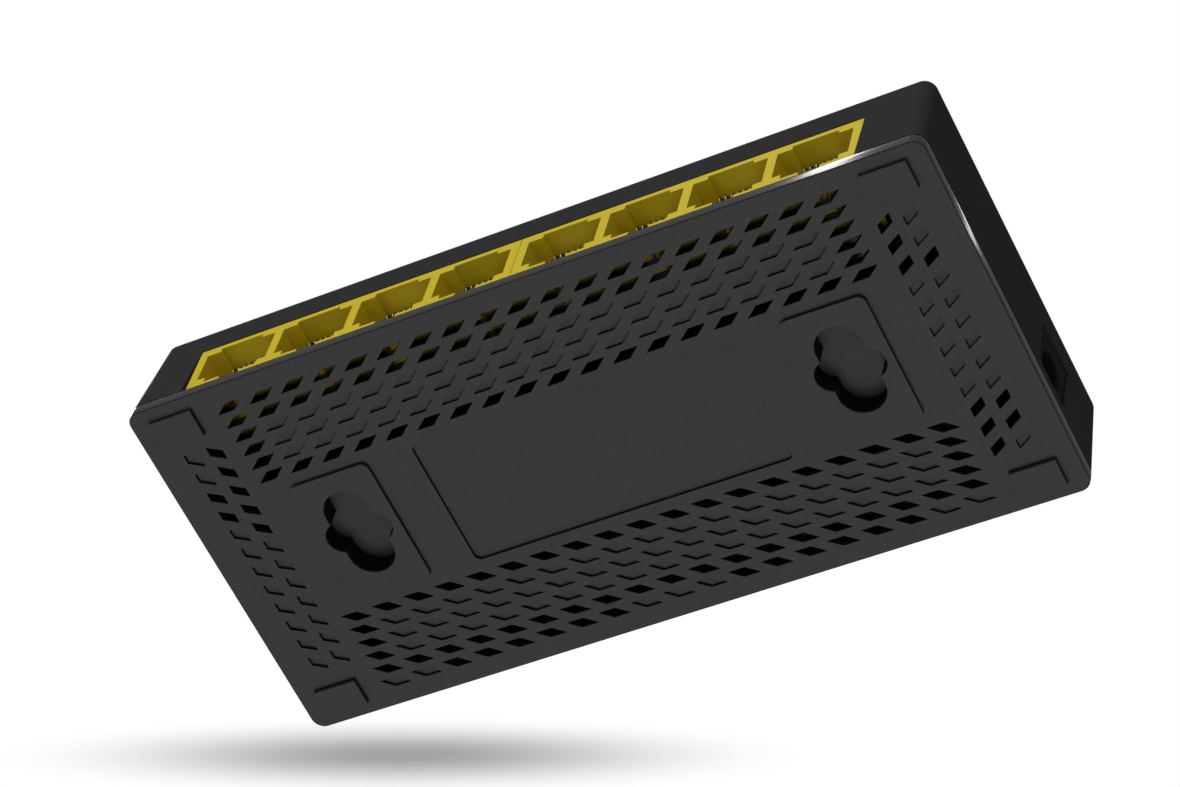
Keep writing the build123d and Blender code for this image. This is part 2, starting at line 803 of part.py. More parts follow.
# Ceramic capacitors around the switch chip
with BuildPart() as chip_capacitors:
    with BuildSketch(Plane.XY.offset(board_top)):
        with Locations((chip_place_x, chip_place_y)):
            with PolarLocations(chip_capacitor_ring, 4, start_angle=45):
                Rectangle(chip_capacitor_length, chip_capacitor_width)
    extrude(amount=chip_capacitor_height)
save(chip_capacitors, "chip_capacitors")

# Lamps along the front of the board, eight for the sockets and one for power
for number, place in enumerate(lamp_places, start=1):
    with BuildPart() as lamp:
        with BuildSketch(Plane.XY.offset(board_top)):
            with Locations(place):
                Rectangle(lamp_length, lamp_depth)
        extrude(amount=lamp_height)
    save(lamp, f"led_{number}")

# Light guide: clear legs over the lamps, a bar that joins them and tips in the cover's windows.
guide_z = board_top + lamp_height + guide_lamp_gap
bar_z = window_z - window_height / 2 + window_gap
tip_width = window_width - 2 * window_gap
tip_height = window_height - 2 * window_gap
guide_back = lamp_y - guide_thickness / 2
guide_span = (lamp_count - 1) * lamp_pitch + tip_width
peg_places = [(side * (guide_span + guide_peg_side) / 2, lamp_y) for side in (-1, 1)]
with BuildPart() as light_pipe:
    with BuildSketch(Plane.XY.offset(guide_z)):
        with Locations(*lamp_places):
            Rectangle(tip_width, guide_thickness)
    extrude(amount=bar_z + tip_height - guide_z)
    with BuildSketch(Plane.XY.offset(bar_z)):
        with Locations((0, lamp_y)):
            Rectangle(guide_span + 2 * guide_peg_side, guide_thickness)
        with Locations(*[(x, guide_back) for x, y in lamp_places]):
            Rectangle(tip_width, half_depth - front_draft - guide_back, align=(Align.CENTER, Align.MIN))
    extrude(amount=tip_height)
    with BuildSketch(Plane.XY.offset(board_top)):
        with Locations(*peg_places):
            Rectangle(guide_peg_side, guide_thickness)
    extrude(amount=bar_z - board_top)
save(light_pipe, "light_pipe")
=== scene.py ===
import bpy
import numpy as np
from mathutils import Matrix, Vector


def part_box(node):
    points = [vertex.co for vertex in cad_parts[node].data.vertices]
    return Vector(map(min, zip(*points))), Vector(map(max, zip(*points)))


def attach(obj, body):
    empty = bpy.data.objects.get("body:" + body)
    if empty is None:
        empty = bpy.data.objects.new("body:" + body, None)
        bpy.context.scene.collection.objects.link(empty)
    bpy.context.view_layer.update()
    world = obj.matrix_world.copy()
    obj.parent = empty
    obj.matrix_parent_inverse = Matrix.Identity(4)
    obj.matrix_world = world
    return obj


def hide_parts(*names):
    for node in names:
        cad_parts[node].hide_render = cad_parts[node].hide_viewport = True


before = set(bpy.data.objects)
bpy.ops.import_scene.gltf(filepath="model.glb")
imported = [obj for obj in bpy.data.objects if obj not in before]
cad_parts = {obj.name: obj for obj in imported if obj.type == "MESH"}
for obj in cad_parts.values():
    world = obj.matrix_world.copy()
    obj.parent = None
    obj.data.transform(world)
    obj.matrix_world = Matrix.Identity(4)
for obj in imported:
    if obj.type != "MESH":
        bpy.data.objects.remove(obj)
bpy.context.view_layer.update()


# Camera. The switch is seen from below and from the socket side, with its power socket at the
# right, through a long lens that keeps the edges of the case almost parallel.
camera_place = Vector((0.22958, -0.26850, -0.51100))
camera_right = Vector((0.88150, 0.44177, 0.16673))
camera_up = Vector((0.29691, -0.79315, 0.53175))
camera_back = Vector((0.36715, -0.41923, -0.83033))
lens_length = 124.66
sensor_width = 36.0

camera_data = bpy.data.cameras.new("camera")
camera_data.lens = lens_length
camera_data.sensor_width = sensor_width
camera_data.clip_start = 0.01
camera_data.clip_end = 10.0
camera = bpy.data.objects.new("camera", camera_data)
bpy.context.scene.collection.objects.link(camera)
turn = Matrix((camera_right, camera_up, camera_back)).transposed().to_4x4()
camera.matrix_world = Matrix.Translation(camera_place) @ turn
bpy.context.scene.camera = camera
bpy.context.scene.view_settings.view_transform = "Standard"


# Studio surround. It is white to the camera, pale below the switch, and dim above it, so the ends
# of the case stay darker than its underside. Polished edges mirror a paler studio.
surround_below = 0.32
surround_above = 0.10
mirrored_below = 0.60
mirrored_above = 0.18
fade_start = -0.3
fade_end = 0.5


def put(tree, kind, inputs=(), **settings):
    """Adds a shader node, sets its settings, and links or sets each input that is given."""
    node = tree.nodes.new(kind)
    for name, value in settings.items():
        setattr(node, name, value)
    for name, value in dict(inputs).items():
        socket = node.inputs[name]
        if isinstance(value, bpy.types.NodeSocket):
            tree.links.new(value, socket)
        else:
            socket.default_value = value
    return node


def reckon(tree, operation, *numbers):
    """Result of one operation on the numbers given."""
    return put(tree, "ShaderNodeMath", dict(enumerate(numbers)), operation=operation).outputs[0]


def between(tree, share, first, second):
    """Number that goes from the first to the second as the share goes from nought to one."""
    return put(tree, "ShaderNodeMix", {0: share, 2: first, 3: second}, data_type="FLOAT").outputs[0]


world = bpy.data.worlds.new("studio")
world.use_nodes = True
bpy.context.scene.world = world
air = world.node_tree
air.nodes.clear()
sky = put(air, "ShaderNodeTexCoord")
sky_height = put(air, "ShaderNodeSeparateXYZ", {"Vector": sky.outputs["Generated"]}).outputs["Z"]
ray = put(air, "ShaderNodeLightPath")
grades = []
for below, above in ((surround_below, surround_above), (mirrored_below, mirrored_above)):
    grade = put(
        air,
        "ShaderNodeMapRange",
        {
            "Value": sky_height,
            "From Min": fade_start,
            "From Max": fade_end,
            "To Min": below,
            "To Max": above,
        },
        interpolation_type="SMOOTHSTEP",
    )
    grades.append(grade.outputs["Result"])
mirrored = between(air, ray.outputs["Is Glossy Ray"], grades[0], grades[1])
direct = reckon(air, "MAXIMUM", ray.outputs["Is Camera Ray"], ray.outputs["Is Transmission Ray"])
level = between(air, direct, mirrored, 1.0)
glow = put(air, "ShaderNodeBackground", {"Color": (1, 1, 1, 1), "Strength": level})
put(air, "ShaderNodeOutputWorld", {"Surface": glow.outputs[0]})


# Lamps. A soft lamp almost straight below lights the underside and leaves the walls of its recesses
# dark, one lights the socket face and one the cover. Two narrow strips draw the white streaks on the
# tray's polished edge.
def far_lamp(name, towards, strength, spread):
    """A distant lamp in the direction given: watts to the square metre, and its spread in radians."""
    data = bpy.data.lights.new(name, "SUN")
    data.energy = strength
    data.angle = spread
    lamp = bpy.data.objects.new(name, data)
    lamp.rotation_euler = Vector(towards).to_track_quat("Z", "Y").to_euler()
    bpy.context.scene.collection.objects.link(lamp)


def strip_lamp(name, place, along, strip_width, strip_length, power):
    """A strip at a place, its length along a direction square to that, its power in watts."""
    length = Vector(along).normalized()
    side = length.cross(Vector(place)).normalized()
    data = bpy.data.lights.new(name, "AREA")
    data.shape = "RECTANGLE"
    data.size = strip_width
    data.size_y = strip_length
    data.energy = power
    lamp = bpy.data.objects.new(name, data)
    turn = Matrix((side, length, side.cross(length))).transposed().to_4x4()
    lamp.matrix_world = Matrix.Translation(Vector(place)) @ turn
    lamp.visible_camera = False
    bpy.context.scene.collection.objects.link(lamp)


far_lamp("underside_lamp", (-0.10, 0.26, -0.96), strength=1.63, spread=0.6)
far_lamp("socket_lamp", (0.0, -0.95, 0.20), strength=1.5, spread=0.5)
far_lamp("cover_lamp", (-0.45, 0.30, 0.75), strength=2.2, spread=0.7)
strip_lamp(
    "socket_rim_strip",
    (-0.226, -0.43, 0.86),
    along=(0, 2, 1),
    strip_width=0.018,
    strip_length=0.7,
    power=0.46,
)
strip_lamp(
    "end_rim_strip",
    (0.341, 0.405, 0.865),
    along=(0.865, 0, -0.341),
    strip_width=0.010,
    strip_length=0.7,
    power=0.085,
)


# Floor. A pale sheet under the feet takes the shadow in views from above. It lets everything but the
# camera's rays through, and from below it isn't seen, because the photograph looks up at the switch.
floor_half_side = 1.2
floor_drop = 0.0002
floor_tone = 0.86


def sheet(name, middle, along, across, half_length, half_width):
    """A flat stage sheet: its middle plus both directions times a parameter from -1 to 1 each."""
    side = np.array([(-1, -1), (1, -1), (1, 1), (-1, 1)], float)
    steps = side[:, :1] * np.array(along) * half_length + side[:, 1:] * np.array(across) * half_width
    mesh = bpy.data.meshes.new(name)
    mesh.from_pydata((np.array(middle) + steps).tolist(), [], [(0, 1, 2, 3)])
    made = bpy.data.objects.new(name, mesh)
    bpy.context.scene.collection.objects.link(made)
    return made


def empty_material(name):
    """A material whose node tree is empty."""
    material = bpy.data.materials.new(name)
    material.use_nodes = True
    material.node_tree.nodes.clear()
    return material


def seen_in_front(tree):
    """One where the camera looks at a sheet's front, and nought at its back and for other rays."""
    ray = put(tree, "ShaderNodeLightPath").outputs["Is Camera Ray"]
    back = put(tree, "ShaderNodeNewGeometry").outputs["Backfacing"]
    return reckon(tree, "MULTIPLY", ray, reckon(tree, "SUBTRACT", 1.0, back))


def let_through(tree, share, surface):
    """Ends a sheet's material: its surface where the share is one, and clear where it is nought."""
    clear = put(tree, "ShaderNodeBsdfTransparent")
    both = put(tree, "ShaderNodeMixShader", {0: share, 1: clear.outputs[0], 2: surface.outputs[0]})
    put(tree, "ShaderNodeOutputMaterial", {"Surface": both.outputs[0]})


floor = sheet("floor", (0, 0, -floor_drop), (1, 0, 0), (0, 1, 0), floor_half_side, floor_half_side)
paper = empty_material("floor_paper")
tree = paper.node_tree
matt = put(tree, "ShaderNodeBsdfDiffuse", {"Color": (floor_tone, floor_tone, floor_tone, 1)})
let_through(tree, seen_in_front(tree), matt)
floor.data.materials.append(paper)


# Shadow under the floating switch: a soft grey ellipse on a sheet of its own, which the camera sees
# at a low angle. It darkens what is behind it towards its middle and is seen by the camera alone.
shadow_pixel = (400.0, 755.0)
shadow_half_pixels = (453.0, 26.0)
frame_pixels = (1180.0, 787.0)
shadow_depth = 0.58
shadow_tilt = 0.12
shadow_strength = 0.64
shadow_falloff = 3.0
pixel_angle = sensor_width / lens_length / frame_pixels[0]

across_view = (shadow_pixel[0] - frame_pixels[0] / 2) * pixel_angle * shadow_depth
below_view = (shadow_pixel[1] - frame_pixels[1] / 2) * pixel_angle * shadow_depth
shadow_middle = (
    camera_place - camera_back * shadow_depth + camera_right * across_view - camera_up * below_view
)
shadow_along = (camera_back - camera_up * shadow_tilt).normalized()
shadow_half_width = shadow_half_pixels[0] * pixel_angle * shadow_depth
shadow_half_reach = shadow_half_pixels[1] * pixel_angle * shadow_depth / shadow_tilt
shadow = sheet(
    "shadow_sheet",
    shadow_middle,
    camera_right,
    -shadow_along,
    shadow_half_width,
    shadow_half_reach,
)


def vector_step(tree, operation, *vectors):
    """Node that does one operation on the vectors given."""
    return put(tree, "ShaderNodeVectorMath", dict(enumerate(vectors)), operation=operation)


def square_along(tree, place, middle, direction, half):
    """Square of the distance from the middle along a direction, in units of the ellipse's half size."""
    away = vector_step(tree, "SUBTRACT", place, tuple(middle)).outputs[0]
    part = vector_step(tree, "DOT_PRODUCT", away, tuple(Vector(direction) / half)).outputs["Value"]
    return reckon(tree, "MULTIPLY", part, part)


veil = empty_material("shadow_veil")
tree = veil.node_tree
shade_at = put(tree, "ShaderNodeTexCoord").outputs["Object"]
width_square = square_along(tree, shade_at, shadow_middle, camera_right, shadow_half_width)
reach_square = square_along(tree, shade_at, shadow_middle, shadow_along, shadow_half_reach)
radius_square = reckon(tree, "ADD", width_square, reach_square)
fade = put(tree, "ShaderNodeMapRange", {"Value": radius_square, "To Min": 1.0, "To Max": 0.0})
soft = reckon(tree, "POWER", fade.outputs["Result"], shadow_falloff)
deep = reckon(tree, "MULTIPLY", soft, shadow_strength)
dark = put(tree, "ShaderNodeEmission", {"Color": (0, 0, 0, 1), "Strength": 0.0})
let_through(tree, reckon(tree, "MULTIPLY", deep, seen_in_front(tree)), dark)
shadow.data.materials.append(veil)


# Tray, the lower half of the case. It is one moulding of dark grey plastic, with a fine sparked
# texture on its faces and a polished rim where the tool halves meet, and it snaps into the cover.
case_dark = (0.0345, 0.0345, 0.0355, 1)
case_light = (0.0460, 0.0460, 0.0470, 1)
# Painted shade: the tone of the dark line along the crease where the underside meets the polished side.
painted_crease_shade = (0.0200, 0.0200, 0.0207, 1)
# Painted shade: the near-black tone of the steep inner walls of the vents, wells and recesses.
painted_recess_shade = (0.0065, 0.0065, 0.0067, 1)
case_low, case_high = (np.array(corner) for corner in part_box("bottom_cover"))
case_half = (case_high - case_low)[:2] / 2
case_corner = 0.0021
plate_height = 0.0010
seam_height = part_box("top_cover")[0][2]
edge_radius = 0.00018
edge_coat = 0.9
edge_coat_roughness = 0.085
rim_width = 1.1 * edge_radius
rim_start = plate_height + 0.5 * edge_radius
rim_full = plate_height + edge_radius
rim_end = seam_height - 0.8 * edge_radius
recess_start = plate_height - 0.00045
recess_steepness = 0.5
well_height = 0.0045
well_play = 0.0004
well_shade = 0.98
grain_span = (0.32, 0.68)
cloud_span = (0.3, 0.7)
grain_share = 0.55
cloud_share = 0.45


def new_group(name, inputs, outputs):
    """A shader node group with the number inputs and outputs that are named, and its output node."""
    group = bpy.data.node_groups.new(name, "ShaderNodeTree")
    for label, value in inputs.items():
        socket = group.interface.new_socket(label, in_out="INPUT", socket_type="NodeSocketFloat")
        socket.default_value = value
    for label in outputs:
        group.interface.new_socket(label, in_out="OUTPUT", socket_type="NodeSocketFloat")
    return group, group.nodes.new("NodeGroupOutput")


def moulded_group():
    """Surface of a moulding: sparked grain, and slow clouds where the melt flowed or hands touched."""
    scales = {"Grain Scale": 2400.0, "Cloud Scale": 45.0}
    group, result = new_group("moulded_surface", scales, ("Tone", "Polish", "Relief"))
    given = group.nodes.new("NodeGroupInput")
    place = put(group, "ShaderNodeTexCoord").outputs["Object"]
    grain = put(
        group,
        "ShaderNodeTexNoise",
        {"Vector": place, "Scale": given.outputs["Grain Scale"], "Detail": 3.0, "Roughness": 0.65},
    )
    cloud = put(
        group,
        "ShaderNodeTexNoise",
        {"Vector": place, "Scale": given.outputs["Cloud Scale"], "Detail": 4.0, "Roughness": 0.6},
    )
    crisp = put(
        group,
        "ShaderNodeMapRange",
        {"Value": grain.outputs["Fac"], "From Min": grain_span[0], "From Max": grain_span[1]},
    )
    mild = reckon(group, "MULTIPLY", crisp.outputs["Result"], grain_share)
    slow = reckon(group, "MULTIPLY", cloud.outputs["Fac"], cloud_share)
    tone = reckon(group, "ADD", mild, slow)
    group.links.new(tone, result.inputs["Tone"])
    group.links.new(cloud.outputs["Fac"], result.inputs["Polish"])
    group.links.new(crisp.outputs["Result"], result.inputs["Relief"])
    return group


moulded_surface = moulded_group()


def blend(tree, share, first, second):
    """Colour that goes from the first to the second as the share goes from nought to one."""
    return put(tree, "ShaderNodeMix", {0: share, 6: first, 7: second}, data_type="RGBA").outputs[2]


def blank_material(name):
    """A material with nothing but a Principled shader on its output."""
    material = empty_material(name)
    shader = put(material.node_tree, "ShaderNodeBsdfPrincipled")
    put(material.node_tree, "ShaderNodeOutputMaterial", {"Surface": shader.outputs[0]})
    return material


def shader_of(material):
    """The Principled shader of a material."""
    return material.node_tree.nodes["Principled BSDF"]


def moulding(name, dark, light, rough, grain_scale, cloud_scale, depth, specular):
    """A moulded plastic: two tones, a span of roughness and the height of its grain in metres."""
    material = blank_material(name)
    tree = material.node_tree
    shader = shader_of(material)
    surface = put(tree, "ShaderNodeGroup", node_tree=moulded_surface)
    surface.inputs["Grain Scale"].default_value = grain_scale
    surface.inputs["Cloud Scale"].default_value = cloud_scale
    polish = put(
        tree,
        "ShaderNodeMapRange",
        {
            "Value": surface.outputs["Polish"],
            "From Min": cloud_span[0],
            "From Max": cloud_span[1],
            "To Min": rough[0],
            "To Max": rough[1],
        },
    )
    relief = put(
        tree,
        "ShaderNodeBump",
        {"Height": surface.outputs["Relief"], "Strength": 1.0, "Distance": depth},
    )
    tone = blend(tree, surface.outputs["Tone"], dark, light)
    tree.links.new(tone, shader.inputs["Base Color"])
    tree.links.new(polish.outputs["Result"], shader.inputs["Roughness"])
    tree.links.new(relief.outputs[0], shader.inputs["Normal"])
    shader.inputs["Specular IOR Level"].default_value = specular
    return material


def edge_group():
    """Masks of the tray's polished side and of its painted shade: a dark line along the edge crease,
    the inner walls and the keyhole well floors.

    The distance from the middle of the nearest outline corner is the length of the part of X and Y
    that goes beyond it. It reaches the corner radius on the outline, in the corners as on the sides.
    """
    group, result = new_group("tray_edge_masks", {}, ("Side", "Line", "Recess Shade", "Well"))
    place = put(group, "ShaderNodeTexCoord").outputs["Object"]
    flat = vector_step(group, "MULTIPLY", place, (1, 1, 0)).outputs[0]
    size = vector_step(group, "ABSOLUTE", flat).outputs[0]
    core = (case_half[0] - case_corner, case_half[1] - case_corner, 0)
    over = vector_step(group, "SUBTRACT", size, core).outputs[0]
    beyond = vector_step(group, "MAXIMUM", over, (0, 0, 0)).outputs[0]
    reach = vector_step(group, "LENGTH", beyond).outputs["Value"]
    height = put(group, "ShaderNodeSeparateXYZ", {"Vector": place}).outputs["Z"]
    outer = reckon(group, "GREATER_THAN", reach, case_corner - rim_width)
    raised = put(
        group,
        "ShaderNodeMapRange",
        {"Value": height, "From Min": rim_start, "From Max": rim_full},
    )
    below_seam = reckon(group, "LESS_THAN", height, rim_end)
    wall = reckon(group, "MULTIPLY", raised.outputs["Result"], outer)
    side = reckon(group, "MULTIPLY", wall, below_seam)
    line = reckon(group, "MAXIMUM", reckon(group, "SUBTRACT", outer, side), 0.0)
    facing = put(group, "ShaderNodeNewGeometry").outputs["Normal"]
    tilt = put(group, "ShaderNodeSeparateXYZ", {"Vector": facing}).outputs["Z"]
    steep = reckon(group, "COMPARE", tilt, 0.0, recess_steepness)
    inner = reckon(group, "MULTIPLY", steep, reckon(group, "SUBTRACT", 1.0, outer))
    sunk = reckon(group, "GREATER_THAN", height, recess_start)
    recess = reckon(group, "MULTIPLY", inner, sunk)
    well = reckon(group, "COMPARE", height, well_height, well_play)
    group.links.new(side, result.inputs["Side"])
    group.links.new(line, result.inputs["Line"])
    group.links.new(recess, result.inputs["Recess Shade"])
    group.links.new(well, result.inputs["Well"])
    return group


def dress(node, material):
    """Gives a node of the model one material all over."""
    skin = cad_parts[node].data.materials
    skin.clear()
    skin.append(material)


tray_plastic = moulding(
    "tray_plastic",
    case_dark,
    case_light,
    rough=(0.56, 0.70),
    grain_scale=2400.0,
    cloud_scale=45.0,
    depth=0.000012,
    specular=0.08,
)
tree = tray_plastic.node_tree
shader = shader_of(tray_plastic)
edge = put(tree, "ShaderNodeGroup", node_tree=edge_group())
lustre = reckon(tree, "MULTIPLY", edge.outputs["Side"], edge_coat)
tree.links.new(lustre, shader.inputs["Coat Weight"])
shader.inputs["Coat Roughness"].default_value = edge_coat_roughness
bump = shader.inputs["Normal"].links[0].from_node
grain = bump.inputs["Height"].links[0].from_socket
smoothed = reckon(tree, "MULTIPLY", grain, reckon(tree, "SUBTRACT", 1.0, edge.outputs["Side"]))
tree.links.new(smoothed, bump.inputs["Height"])
tones = shader.inputs["Base Color"].links[0].from_socket
# Painted shade: the crease between the underside and the polished side is darkened to a line.
crease_shaded = blend(tree, edge.outputs["Line"], tones, painted_crease_shade)
# Painted shade: the keyhole well floors are made a little darker.
shaded = blend(tree, well_shade, (0.0, 0.0, 0.0, 1), crease_shaded)
well_floor_shaded = blend(tree, edge.outputs["Well"], crease_shaded, shaded)
# Painted shade: the steep inner walls near the plate are made near black.
recess_shaded = blend(tree, edge.outputs["Recess Shade"], well_floor_shaded, painted_recess_shade)
tree.links.new(recess_shaded, shader.inputs["Base Color"])
dress("bottom_cover", tray_plastic)


# Tray edge. The tray's side is polished and very slightly bellied, and meets the textured underside
# in a crisp corner. It is a skin over the tray's own rounded edge, down from the seam.
skin_lift = 0.00001
belly = 0.00005
skin_inner = 0.00080
skin_crease = np.radians(35)
corner_steps = 17
wall_steps = 14
bend_steps = 9


def edge_skin(name, half_sizes, corner, profile):
    """A closed profile carried round a rounded rectangle.

    The outline's points are the middle of each corner plus the corner radius times the cosine and
    sine of the turn. The profile's first value is how far inwards from there, its second the height.
    """
    quarter = np.linspace(0, np.pi / 2, corner_steps)
    turns = np.concatenate([quarter + k * np.pi / 2 for k in range(4)])
    signs = np.repeat([(1, 1), (-1, 1), (-1, -1), (1, -1)], len(quarter), axis=0)
    outward = np.stack([np.cos(turns), np.sin(turns)], 1)
    outline = signs * (np.array(half_sizes) - corner) + corner * outward
    flat = outline[:, None] - profile[None, :, :1] * outward[:, None]
    up = np.broadcast_to(profile[None, :, 1:], flat.shape[:2] + (1,))
    points = np.concatenate([flat, up], 2).reshape(-1, 3)
    rows, columns = len(outline), len(profile)
    row = np.arange(rows)[:, None] * columns
    column = np.arange(columns)[None]
    next_row = (row + columns) % (rows * columns)
    next_column = (column + 1) % columns
    quads = np.stack(
        [row + column, row + next_column, next_row + next_column, next_row + column],
        2,
    )
    mesh = bpy.data.meshes.new(name)
    mesh.from_pydata(points.tolist(), [], quads.reshape(-1, 4).tolist())
    mesh.polygons.foreach_set("use_smooth", np.ones(len(mesh.polygons), bool))
    mesh.set_sharp_from_angle(angle=skin_crease)
    made = bpy.data.objects.new(name, mesh)
    bpy.context.scene.collection.objects.link(made)
    return made


wall_top = seam_height - 2 * skin_lift
wall_foot = plate_height + edge_radius
wall_heights = np.linspace(wall_top, wall_foot, wall_steps)
wall_share = (2 * wall_heights - wall_top - wall_foot) / (wall_top - wall_foot)
wall_profile = np.stack([-skin_lift - belly * (1 - wall_share**2), wall_heights], 1)
bend = np.linspace(0, np.pi / 2, bend_steps)[1:]
bend_inwards = edge_radius * (1 - np.cos(bend)) - skin_lift
bend_heights = wall_foot - (edge_radius + skin_lift) * np.sin(bend)
bend_profile = np.stack([bend_inwards, bend_heights], 1)
inner_profile = np.array(
    [
        (skin_inner - skin_lift, plate_height - skin_lift),
        (skin_inner, plate_height - skin_lift),
        (skin_inner, plate_height + 2 * edge_radius),
        (skin_inner / 2, wall_top),
        (0.0, wall_top),
    ]
)
edge_profile = np.concatenate([wall_profile, bend_profile, inner_profile])
tray_edge = edge_skin("tray_edge", case_half, case_corner, edge_profile)
tray_edge.data.materials.append(tray_plastic)
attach(tray_edge, "root")


# Cover, the upper half of the case. It comes from the same plastic as the tray, with a finer and
# more even texture, and its drafted walls drop over the tray's tongue and snap onto its beads.
cover_plastic = moulding(
    "cover_plastic",
    (0.0330, 0.0330, 0.0342, 1),
    (0.0410, 0.0410, 0.0422, 1),
    rough=(0.60, 0.74),
    grain_scale=3000.0,
    cloud_scale=30.0,
    depth=0.000008,
    specular=0.012,
)
dress("top_cover", cover_plastic)


# Socket blocks. Two glossy yellow mouldings hold four network sockets each. They are soldered to the
# board's edge and show through the opening in the cover. Their undersides and the deep part of their
# keyways carry painted shade.
block_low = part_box("port_block_left")[0]
painted_shade_height = block_low[2] + 0.00015
keyway_top = block_low[2] + 0.00198
keyway_start = block_low[1] + 0.004
painted_shade_factor = 0.12
socket_plastic = moulding(
    "socket_plastic",
    (0.70, 0.545, 0.022, 1),
    (0.78, 0.620, 0.034, 1),
    rough=(0.38, 0.52),
    grain_scale=1500.0,
    cloud_scale=90.0,
    depth=0.000006,
    specular=0.10,
)
tree = socket_plastic.node_tree
base = shader_of(socket_plastic).inputs["Base Color"]
block_at = put(tree, "ShaderNodeTexCoord").outputs["Object"]
block_axes = put(tree, "ShaderNodeSeparateXYZ", {"Vector": block_at})
# Painted shade: the yellow is darkened to 0.12 of its tone on the undersides and deep in the keyways.
low = reckon(tree, "LESS_THAN", block_axes.outputs["Z"], painted_shade_height)
keyway = reckon(tree, "LESS_THAN", block_axes.outputs["Z"], keyway_top)
deep = reckon(tree, "GREATER_THAN", block_axes.outputs["Y"], keyway_start)
underside = reckon(tree, "MAXIMUM", low, reckon(tree, "MULTIPLY", keyway, deep))
yellow = base.links[0].from_socket
shaded_yellow = blend(tree, painted_shade_factor, (0.0, 0.0, 0.0, 1), yellow)
tree.links.new(blend(tree, underside, yellow, shaded_yellow), base)
for side in ("left", "right"):
    dress(f"port_block_{side}", socket_plastic)


# Contact carriers. A dark plastic insert is seated in the block behind each socket. The grooves in
# its top hold the eight contacts in line.
socket_count = 8
carrier_plastic = moulding(
    "carrier_plastic",
    (0.012, 0.012, 0.012, 1),
    (0.022, 0.021, 0.020, 1),
    rough=(0.40, 0.55),
    grain_scale=1800.0,
    cloud_scale=120.0,
    depth=0.000006,
    specular=0.30,
)
for number in range(1, socket_count + 1):
    dress(f"contact_carrier_{number}", carrier_plastic)


# Contacts. Eight round spring wires lie in each carrier's grooves, run forward under the socket's
# roof, and turn back and down in a hairpin to meet the plug. They are gold over nickel.
wires_per_socket = 8
wire_radius = 0.00019
wire_sides = 10
wire_roof_gap = 0.6 * wire_radius
wire_tail_gap = 0.1 * wire_radius
wire_bend_radius = 2.4 * wire_radius
hairpin_radius = 0.00062
hairpin_turn = np.radians(152)
return_length = 0.0046
tail_steps = 8
run_steps = 10
hairpin_steps = 14
return_steps = 16
metal_clouds = 140.0
metal_specular = 0.5


def metal(name, dark, light, rough, grain_scale, depth):
    """A bare metal: two tones in slow clouds, and fine scratches that catch the light."""
    material = moulding(
        name, dark, light, rough, grain_scale, metal_clouds, depth, metal_specular
    )
    shader_of(material).inputs["Metallic"].default_value = 1.0
    return material


def wire_route(block_back, roof, board_top, reach):
    """Route of a wire in its own plane, as places along Y and Z.

    The tail rises from the board behind the carrier, turns forward in a quarter circle, runs level,
    turns through most of a half circle and slopes back into the socket.
    """
    level = roof - wire_radius - wire_roof_gap
    tail = block_back + wire_radius + wire_tail_gap
    bend = wire_bend_radius
    rise = np.linspace(0, 1, tail_steps, endpoint=False)
    up = np.stack([np.full(tail_steps, tail), board_top + rise * (level - bend - board_top)], 1)
    quarter = np.linspace(0, np.pi / 2, tail_steps, endpoint=False)
    corner = np.stack([tail - bend + bend * np.cos(quarter), level - bend + bend * np.sin(quarter)], 1)
    run = np.linspace(0, 1, run_steps, endpoint=False)
    ahead = np.stack([tail - bend - run * (reach - bend), np.full(run_steps, level)], 1)
    turns = np.linspace(0, hairpin_turn, hairpin_steps, endpoint=False)
    hairpin_middle = np.array([tail - reach, level - hairpin_radius])
    turned = hairpin_middle + hairpin_radius * np.stack([-np.sin(turns), np.cos(turns)], 1)
    start = hairpin_middle + hairpin_radius * np.array([-np.sin(hairpin_turn), np.cos(hairpin_turn)])
    slope = np.array([-np.cos(hairpin_turn), -np.sin(hairpin_turn)])
    back = start + np.linspace(0, 1, return_steps)[:, None] * slope * return_length
    return np.concatenate([up, corner, ahead, turned, back])


def closed_tubes(name, tube, sides, shifts, turned):
    """Equal tubes side by side, each the tube's points plus a shift.

    Neighbouring rings of points are joined by four-sided faces, and a cap closes either end. The
    faces of a turned tube run the other way round, because its rings go the other way.
    """
    rings = len(tube) // sides
    ring = np.arange(rings - 1)[:, None] * sides
    step = np.arange(sides)[None]
    after = (step + 1) % sides
    quads = np.stack([ring + step, ring + after, ring + sides + after, ring + sides + step], 2)
    caps = [np.arange(sides)[::-1], np.arange(sides) + (rings - 1) * sides]
    if turned:
        quads = np.roll(quads[..., ::-1], 1, axis=2)
        caps = [cap[::-1] for cap in caps]
    starts = np.arange(len(shifts)) * len(tube)
    faces = (quads.reshape(1, -1, 4) + starts[:, None, None]).reshape(-1, 4).tolist()
    faces += [(cap + start).tolist() for cap in caps for start in starts]
    points = (tube[None] + shifts[:, None]).reshape(-1, 3)
    mesh = bpy.data.meshes.new(name)
    mesh.from_pydata(points.tolist(), [], faces)
    made = bpy.data.objects.new(name, mesh)
    bpy.context.scene.collection.objects.link(made)
    return made


def round_wire(route):
    """Points of a round wire: a circle carried along the route, square to it at each station."""
    along = np.gradient(route, axis=0)
    along /= np.linalg.norm(along, axis=1)[:, None]
    normal = np.stack([-along[:, 1], along[:, 0]], 1)
    turn = np.arange(wire_sides) / wire_sides * 2 * np.pi
    sideways = np.broadcast_to(wire_radius * np.cos(turn), (len(route), wire_sides))
    outward = wire_radius * np.sin(turn)
    in_plane = route[:, None, :] + outward[None, :, None] * normal[:, None, :]
    return np.concatenate([sideways[..., None], in_plane], 2).reshape(-1, 3)


